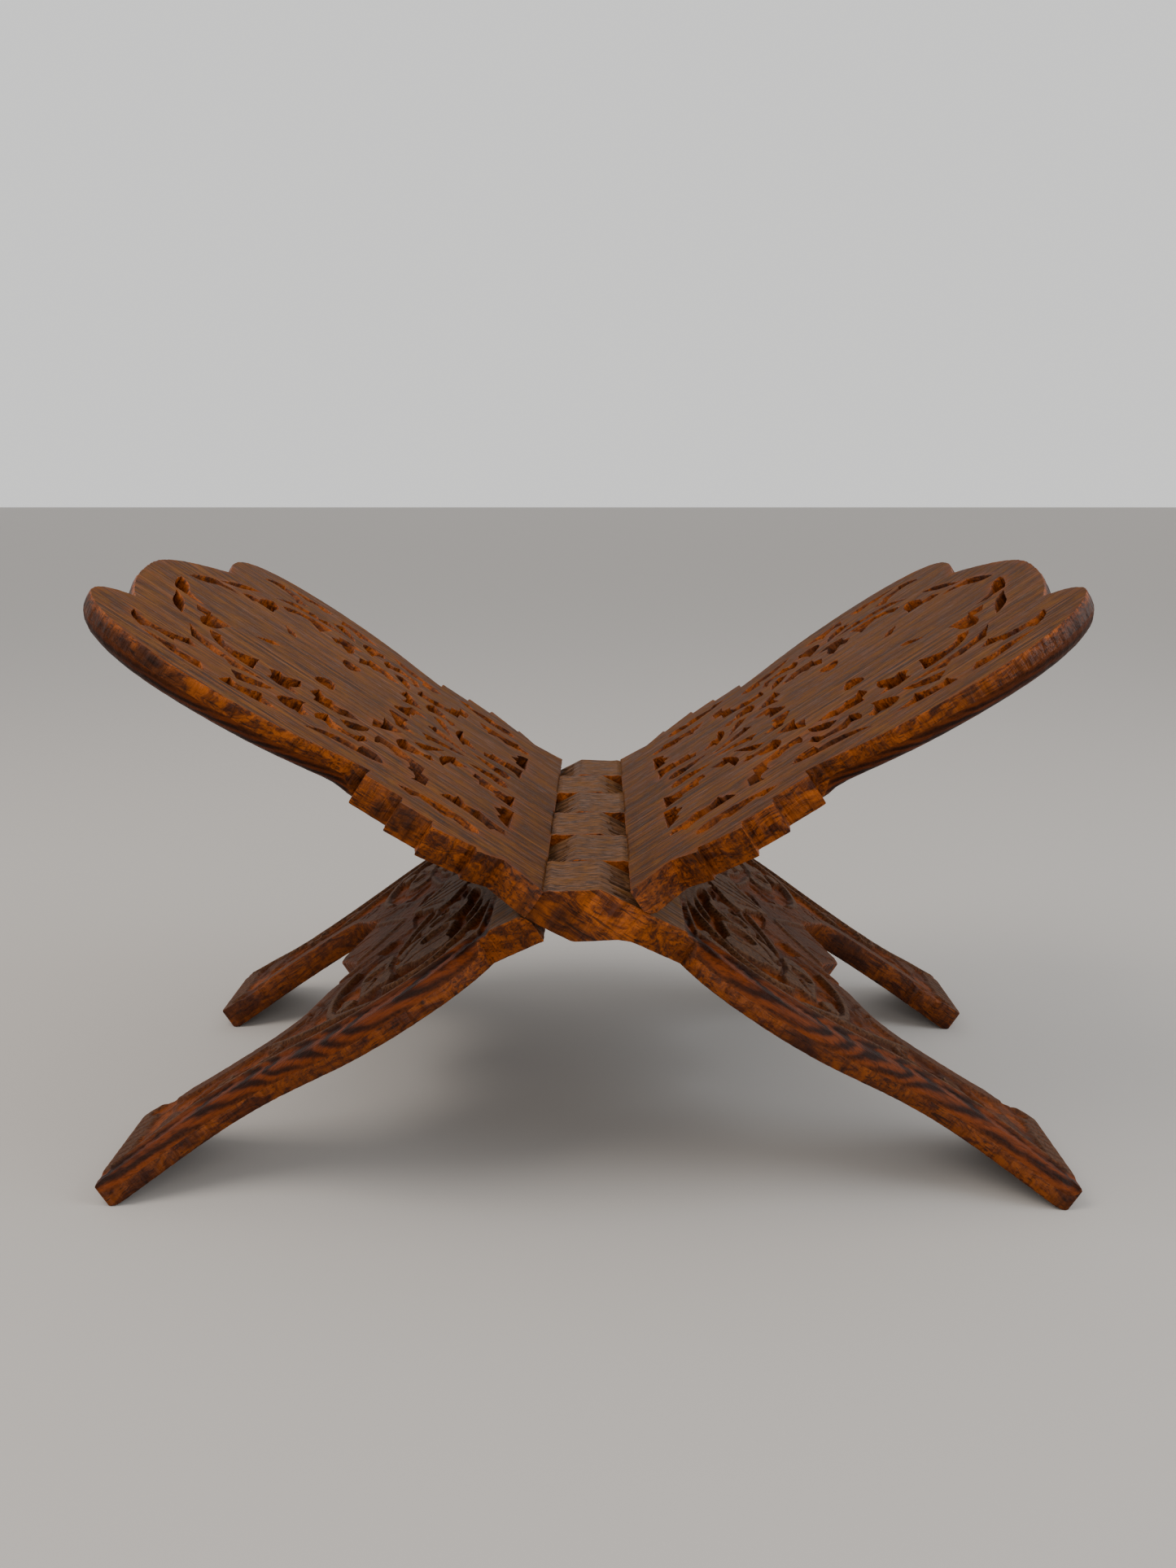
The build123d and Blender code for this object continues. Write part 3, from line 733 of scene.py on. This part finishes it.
    def build(self):
        """The leaf as one closed mesh object that rides on its body."""
        top, top_faces, top_looks = self.sheet(True, UPPER_ZONES)
        low, low_faces, low_looks = self.sheet(False, LOWER_ZONES)
        outline = np.concatenate(self.loops)
        count = len(outline)
        upper_r = np.concatenate(self.upper_rounds)
        lower_r = np.concatenate(self.lower_rounds)
        upper_edge = top[:count, 2] + self.wall_start(upper_r)
        lower_edge = low[:count, 2] - self.wall_start(lower_r)
        crossed = upper_edge > lower_edge - THINNEST
        middle = (upper_edge + lower_edge) / 2
        upper_edge = np.where(crossed, middle - THINNEST / 2, upper_edge)
        lower_edge = np.where(crossed, middle + THINNEST / 2, lower_edge)
        corners = np.concatenate([top, low, np.column_stack([outline, upper_edge]),
                                  np.column_stack([outline, lower_edge])])
        table = (HINGE_Z + corners[:, 0] * SIN) / COS
        corners[:, 2] = np.minimum(corners[:, 2], table)
        # Starts of the four rows of corners down a wall.
        rows = [0, len(top) + len(low), len(top) + len(low) + count, len(top)]
        faces = [top_faces[:, ::-1], low_faces + len(top)]
        kinds = [self.sheet_kind(top, top_faces, 1), self.sheet_kind(low, low_faces, -1)]
        nxt, start = [], 0
        for loop in self.loops:
            nxt += [start + (k + 1) % len(loop) for k in range(len(loop))]
            start += len(loop)
        here, nxt = np.arange(count), np.array(nxt)
        for a, b in zip(rows[:-1], rows[1:]):
            faces += [np.stack([a + here, a + nxt, b + nxt], 1),
                      np.stack([a + here, b + nxt, b + here], 1)]
            kinds += [np.full(count, WALL)] * 2
        faces = np.concatenate(faces)
        kinds = np.concatenate(kinds)
        if self.side > 0:
            faces = faces[:, ::-1]
        wall_looks = np.tile(WALL_LOOKS, (2 * count, 1))
        wide = np.concatenate([upper_r, lower_r]) > WIDE_ROUND
        wall_looks[wide, LOOKS.index("polish")] = WALL_POLISH
        looks = np.concatenate([top_looks, low_looks, wall_looks])
        self.to_object(corners, faces, kinds, looks)

    @staticmethod
    def rim_inset(radius):
        """How far inside the outline a sheet's rim lies."""
        return np.minimum(RIM_INSET, radius * 0.5)

    def wall_start(self, radius):
        """Height from a sheet's inset rim down to where the wall begins."""
        inset = self.rim_inset(radius)
        rounded = radius - rounded_drop(inset, radius)
        return np.where(radius > WIDE_ROUND, rounded, inset * 1.2)

    @staticmethod
    def sheet_kind(corners, faces, sign):
        """Material of each face of a sheet, sawn or carved."""
        s = corners[faces, 0].mean(1) * sign
        return np.where(s < -FLAT_HINGE, CARVED, SAWN)

    def to_object(self, corners, faces, kinds, looks):
        """Makes the mesh object, with its looks, grain coordinates and materials."""
        mesh = bpy.data.meshes.new(self.node + "_wood")
        mesh.from_pydata(to_world(corners, self.side).tolist(), [], faces.tolist())
        for column, name in enumerate(LOOKS):
            layer = mesh.attributes.new(name, "FLOAT", "POINT")
            layer.data.foreach_set("value", looks[:, column].astype(np.float32))
        grain = mesh.attributes.new("grain", "FLOAT_VECTOR", "POINT")
        grain.data.foreach_set("vector", (corners * MM).astype(np.float32).ravel())
        for material in MATERIALS[self.node]:
            mesh.materials.append(material)
        mesh.polygons.foreach_set("material_index", kinds.astype(np.int32))
        mesh.polygons.foreach_set("use_smooth", np.ones(len(faces), bool))
        mesh.update()
        mesh.set_sharp_from_angle(angle=math.radians(SHARP_ANGLE))
        piece = bpy.data.objects.new(self.node + "_wood", mesh)
        bpy.context.scene.collection.objects.link(piece)
        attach(piece, self.node)
        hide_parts(self.node)


# ---------- materials

def srgb(r, g, b):
    """Linear colour of an sRGB colour given from 0 to 255."""
    linear = [((c / 255 + 0.055) / 1.055) ** 2.4 if c > 10 else c / 255 / 12.92
              for c in (r, g, b)]
    return (*linear, 1.0)


class Nodes:
    """Shorthand for building a node tree."""

    def __init__(self, material):
        material.use_nodes = True
        self.tree = material.node_tree
        self.shader = next(n for n in self.tree.nodes if n.type == "BSDF_PRINCIPLED")

    def new(self, kind, inputs=(), **settings):
        """A node with its settings and inputs."""
        node = self.tree.nodes.new(kind)
        for name, value in settings.items():
            setattr(node, name, value)
        for key, value in dict(inputs).items():
            self.put(node.inputs[key], value)
        return node

    def put(self, socket, value):
        """Links an output to the socket, or sets the socket's own value."""
        if isinstance(value, bpy.types.NodeSocket):
            self.tree.links.new(value, socket)
        else:
            socket.default_value = value

    def attribute(self, name, output="Fac"):
        return self.new("ShaderNodeAttribute", attribute_name=name).outputs[output]

    def scaled(self, vector, scale, shift):
        return self.new("ShaderNodeMapping", {"Vector": vector, "Scale": scale,
                                              "Location": shift}).outputs[0]

    def noise(self, vector, detail, rough=0.55, distortion=0.0):
        node = self.new("ShaderNodeTexNoise", {"Vector": vector, "Scale": 1.0,
                                               "Detail": detail, "Roughness": rough,
                                               "Distortion": distortion})
        return node.outputs["Fac"]

    def ramp(self, value, low, high, out_low=0.0, out_high=1.0):
        """Smooth step of the value from out_low to out_high."""
        node = self.new("ShaderNodeMapRange", {"Value": value, "From Min": low,
                                               "From Max": high, "To Min": out_low,
                                               "To Max": out_high},
                        interpolation_type="SMOOTHSTEP")
        return node.outputs[0]

    def math(self, operation, a, b):
        node = self.new("ShaderNodeMath", operation=operation)
        self.put(node.inputs[0], a)
        self.put(node.inputs[1], b)
        return node.outputs[0]

    def mix(self, factor, a, b):
        """Mix of two colours; the node's colour sockets are 6, 7 and, going out, 2."""
        node = self.new("ShaderNodeMix", data_type="RGBA", blend_type="MIX")
        self.put(node.inputs[0], factor)
        self.put(node.inputs[6], a)
        self.put(node.inputs[7], b)
        return node.outputs[2]

    def bump(self, height, distance, strength, normal=None):
        inputs = {"Height": height, "Distance": distance, "Strength": strength}
        if normal is not None:
            inputs["Normal"] = normal
        return self.new("ShaderNodeBump", inputs).outputs[0]


def dark_tips(n, along, colour):
    """Darkens the ends of the lobes, where hands have oiled the wood."""
    reach = n.new("ShaderNodeSeparateXYZ", {"Vector": along}).outputs["X"]
    oiled = n.math("MULTIPLY", n.ramp(n.attribute("polish"), 0.0, 0.5), 0.75)
    share = n.math("MULTIPLY", n.ramp(reach, 0.105, 0.155), oiled)
    return n.mix(share, colour, srgb(26, 9, 4))


# Noises of the wood: scale along the leaf, across it and through it, then the detail,
# the roughness and the distortion.
GRAIN = {"figure": ((7, 120, 60), 4.0, 0.6, 1.2), "fibres": ((60, 1500, 900), 3.0, 0.6),
         "pores": ((110, 1700, 1700), 2.0, 0.5), "blotch": ((38, 38, 38), 4.0, 0.6)}


def grain_of(n, seed, *names):
    """The leaf's own coordinates, then the named noises of the wood."""
    along = n.attribute("grain", "Vector")
    shift = (0.013 * seed, 0.31 * seed, 0.07 * seed)
    noises = [n.noise(n.scaled(along, GRAIN[name][0], shift), *GRAIN[name][1:])
              for name in names]
    return along, *noises


def sawn_material(name, seed, base, light, dark, dust):
    """Inner faces: flat sawn wood, brown, with fine lines and a film of dust."""
    material = bpy.data.materials.new(name)
    n = Nodes(material)
    along, figure, fibres, pores, blotch = grain_of(n, seed, *GRAIN)
    colour = n.mix(n.ramp(figure, 0.35, 0.66), base, light)
    colour = n.mix(n.ramp(blotch, 0.5, 0.75, 0.0, 0.55), colour, dark)
    lines = n.noise(n.scaled(along, (14, 850, 500), (0, seed, 0)), 3.0, 0.6)
    colour = n.mix(n.ramp(lines, 0.42, 0.56, 0.0, 0.85), colour, dark)
    colour = n.mix(n.ramp(fibres, 0.42, 0.7, 0.0, 0.55), colour, dark)
    colour = n.mix(n.ramp(pores, 0.54, 0.66, 0.0, 0.8), colour, dark)
    grey = n.mix(n.ramp(lines, 0.4, 0.6), srgb(92, 66, 48), srgb(52, 35, 25))
    colour = n.mix(n.math("MULTIPLY", n.attribute("knuckle"), 0.65), colour, grey)
    film = n.noise(n.scaled(along, (120, 160, 160), (seed, 0, 0)), 5.0, 0.7)
    colour = n.mix(n.ramp(film, 0.42, 0.72, 0.0, 0.6), colour, dust)
    saw = n.noise(n.scaled(along, (40, 420, 40), (0, seed, 0)), 2.0)
    colour = n.mix(n.ramp(saw, 0.45, 0.75, 0.0, 0.35), colour, dust)
    worn = n.math("MULTIPLY", n.attribute("wear"), n.ramp(blotch, 0.4, 0.7, 0.0, 0.55))
    colour = n.mix(worn, colour, srgb(120, 58, 16))
    # Painted shade: the floors of the saw cuts are darkened nearly to black.
    colour = n.mix(n.attribute("cut"), colour, srgb(26, 13, 8))
    n.put(n.shader.inputs["Base Color"], colour)
    n.put(n.shader.inputs["Roughness"], n.ramp(film, 0.3, 0.75, 0.5, 0.78))
    n.put(n.shader.inputs["Specular IOR Level"], 0.05)
    normal = n.bump(fibres, 0.0004, 0.5)
    normal = n.bump(saw, 0.0006, 0.6, normal)
    normal = n.bump(pores, 0.0003, 0.5, normal)
    n.put(n.shader.inputs["Normal"], normal)
    return material


def edge_material(name, seed):
    """Sawn edges and walls of the openings: orange brown with dark streaks."""
    material = bpy.data.materials.new(name)
    n = Nodes(material)
    along, pores, blotch = grain_of(n, seed, "pores", "blotch")
    streaks = n.noise(n.scaled(along, (90, 230, 280), (seed, seed, 0)), 5.0, 0.7, 1.4)
    rays = n.noise(n.scaled(along, (420, 420, 90), (0, seed, 0)), 4.0, 0.65, 0.4)
    colour = n.mix(n.ramp(streaks, 0.37, 0.65), srgb(138, 68, 7), srgb(60, 23, 4))
    colour = n.mix(n.ramp(rays, 0.46, 0.7, 0.0, 0.55), colour, srgb(30, 10, 3))
    colour = n.mix(n.ramp(blotch, 0.49, 0.67, 0.0, 0.7), colour, srgb(30, 11, 4))
    reach = n.new("ShaderNodeSeparateXYZ", {"Vector": along}).outputs["X"]
    # Painted shade: the sawn edges of the legs, which stand under the book rests, are
    # darkened from about 20 mm past the hinge towards the feet.
    colour = n.mix(n.ramp(reach, -0.05, -0.02, 0.45, 0.0), colour, srgb(44, 15, 5))
    colour = n.mix(n.ramp(pores, 0.55, 0.68, 0.0, 0.7), colour, srgb(20, 8, 3))
    n.put(n.shader.inputs["Base Color"], dark_tips(n, along, colour))
    n.put(n.shader.inputs["Roughness"], n.ramp(blotch, 0.3, 0.7, 0.42, 0.6))
    n.put(n.shader.inputs["Specular IOR Level"], 0.14)
    chatter = n.noise(n.scaled(along, (330, 330, 35), (seed, 0, seed)), 2.0, 0.5)
    normal = n.bump(rays, 0.0012, 0.9)
    normal = n.bump(chatter, 0.0014, 0.8, normal)
    normal = n.bump(streaks, 0.0006, 0.5, normal)
    n.put(n.shader.inputs["Normal"], normal)
    return material


def carved_material(name, seed):
    """Outer faces: dusty grey ridges, brown ground, raw orange pits, polished slopes."""
    material = bpy.data.materials.new(name)
    n = Nodes(material)
    along, figure, fibres, pores, blotch = grain_of(n, seed, *GRAIN)
    speckle = n.noise(n.scaled(along, (900, 1300, 1300), (seed, 0, 0)), 3.0, 0.6)
    ground = n.mix(n.ramp(figure, 0.35, 0.65), srgb(60, 27, 11), srgb(36, 15, 7))
    ground = n.mix(n.ramp(fibres, 0.45, 0.72, 0.0, 0.5), ground, srgb(22, 9, 5))
    raw_wood = n.mix(n.ramp(blotch, 0.38, 0.64), srgb(110, 51, 7), srgb(52, 21, 5))
    raw_wood = n.mix(n.ramp(speckle, 0.44, 0.68, 0.0, 0.65), raw_wood, srgb(36, 13, 4))
    colour = n.mix(n.attribute("raw"), ground, raw_wood)
    grey = n.mix(n.ramp(speckle, 0.36, 0.66), srgb(88, 59, 38), srgb(42, 25, 15))
    grey = n.mix(n.ramp(blotch, 0.45, 0.75, 0.0, 0.6), grey, srgb(62, 36, 21))
    film = n.math("MULTIPLY", n.attribute("dust"), n.ramp(blotch, 0.2, 0.55, 0.7, 1.0))
    colour = n.mix(film, colour, grey)
    shine = n.attribute("polish")
    rings = n.noise(n.scaled(along, (28, 170, 420), (seed, 0, 0)), 3.0, 0.6, 1.5)
    tilted = n.new("ShaderNodeMapping", {"Vector": along, "Rotation": (0.25, 0.16, 0.0)})
    growth = n.new("ShaderNodeTexWave", {"Vector": tilted.outputs[0], "Scale": 120.0,
                                         "Distortion": 5.0, "Detail": 3.0,
                                         "Detail Scale": 0.5}, bands_direction="Z")
    figured = n.mix(0.4, rings, growth.outputs["Fac"])
    polished = n.mix(n.ramp(figured, 0.25, 0.72), srgb(92, 40, 10), srgb(30, 10, 4))
    polished = n.mix(n.ramp(fibres, 0.45, 0.7, 0.0, 0.6), polished, srgb(18, 7, 3))
    polished = dark_tips(n, along, polished)
    colour = n.mix(shine, colour, polished)
    colour = n.mix(n.ramp(pores, 0.62, 0.74, 0.0, 0.6), colour, srgb(20, 9, 5))
    worn = n.math("MULTIPLY", n.attribute("wear"), n.ramp(speckle, 0.3, 0.6, 0.2, 0.9))
    colour = n.mix(worn, colour, srgb(104, 52, 20))
    n.put(n.shader.inputs["Base Color"], colour)
    n.put(n.shader.inputs["Roughness"], n.ramp(shine, 0.0, 1.0, 0.62, 0.48))
    n.put(n.shader.inputs["Specular IOR Level"], 0.06)
    normal = n.bump(fibres, 0.0004, 0.5)
    normal = n.bump(speckle, 0.0005, 0.5, normal)
    n.put(n.shader.inputs["Normal"], normal)
    return material


MATERIALS = {}
# Base, light, dark and dusty colours of the sawn faces.
INNER_LOOKS = {
    "left_leaf": (srgb(86, 45, 12), srgb(106, 59, 18), srgb(36, 16, 6), srgb(108, 70, 33)),
    "right_leaf": (srgb(82, 42, 12), srgb(98, 55, 18), srgb(36, 17, 7), srgb(104, 68, 33)),
}
GRAIN_SEEDS = {"left_leaf": 3, "right_leaf": 8}
for leaf_name, colours in INNER_LOOKS.items():
    tag = GRAIN_SEEDS[leaf_name]
    MATERIALS[leaf_name] = [sawn_material(leaf_name + "_sawn_face", tag, *colours),
                            edge_material(leaf_name + "_sawn_edge", tag + 1),
                            carved_material(leaf_name + "_carved", tag + 2)]


# ---------- the stand

for leaf_name, leaf_seed in (("left_leaf", 11), ("right_leaf", 23)):
    Leaf(leaf_name, leaf_seed).build()


# ---------- table, light, camera

TABLE_REACH = 60.0    # half the side of the table top, in metres
TABLE_GAP = 0.0002    # the table top lies this far below the stand


def table_top():
    """Plain pale table top under the stand."""
    material = bpy.data.materials.new("pale_cloth")
    n = Nodes(material)
    n.put(n.shader.inputs["Base Color"], srgb(164, 159, 155))
    n.put(n.shader.inputs["Roughness"], 0.9)
    mesh = bpy.data.meshes.new("table_top")
    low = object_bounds()[0].z - TABLE_GAP
    mesh.from_pydata([(x * TABLE_REACH, y * TABLE_REACH, low)
                      for x, y in ((-1, -1), (1, -1), (1, 1), (-1, 1))], [], [(0, 1, 2, 3)])
    mesh.materials.append(material)
    floor = bpy.data.objects.new("table_top", mesh)
    bpy.context.scene.collection.objects.link(floor)
    floor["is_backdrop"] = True


def soft_light(name, location, target, size, power, colour):
    """A large area light aimed at the target."""
    data = bpy.data.lights.new(name, "AREA")
    data.shape, data.size, data.energy, data.color = "DISK", size, power, colour
    lamp = bpy.data.objects.new(name, data)
    lamp.location = location
    lamp.rotation_mode = "QUATERNION"
    lamp.rotation_quaternion = (Vector(target) - Vector(location)).to_track_quat("-Z", "Y")
    bpy.context.scene.collection.objects.link(lamp)


table_top()
middle = (0.0, 0.0, 0.09)    # the hinge, which the lights face
soft_light("window_left", (-0.65, -0.35, 1.05), middle, 0.9, 10, (1.0, 0.93, 0.84))
soft_light("window_right", (1.1, -0.3, 0.6), middle, 0.9, 10, (0.88, 0.95, 1.0))
soft_light("window_front", (0.1, -1.3, 0.75), middle, 0.8, 4, (1.0, 0.96, 0.9))
world = bpy.data.worlds.new("pale_room")
world.use_nodes = True
world.node_tree.nodes["Background"].inputs[0].default_value = (0.97, 0.97, 0.96, 1.0)
world.node_tree.nodes["Background"].inputs[1].default_value = 1.0
bpy.context.scene.world = world

CAMERA_DIP, CAMERA_TURN = 11.69, 0.485    # degrees below level, and to the left
camera_data = bpy.data.cameras.new("photo_camera")
camera_data.sensor_fit = "VERTICAL"
camera_data.sensor_height = 36.0
camera_data.lens = 31.23
camera = bpy.data.objects.new("photo_camera", camera_data)
camera.location = (0.00336, -0.45665, 0.20161)
camera.rotation_euler = (math.radians(90 - CAMERA_DIP), 0.0, math.radians(CAMERA_TURN))
bpy.context.scene.collection.objects.link(camera)
bpy.context.scene.camera = camera
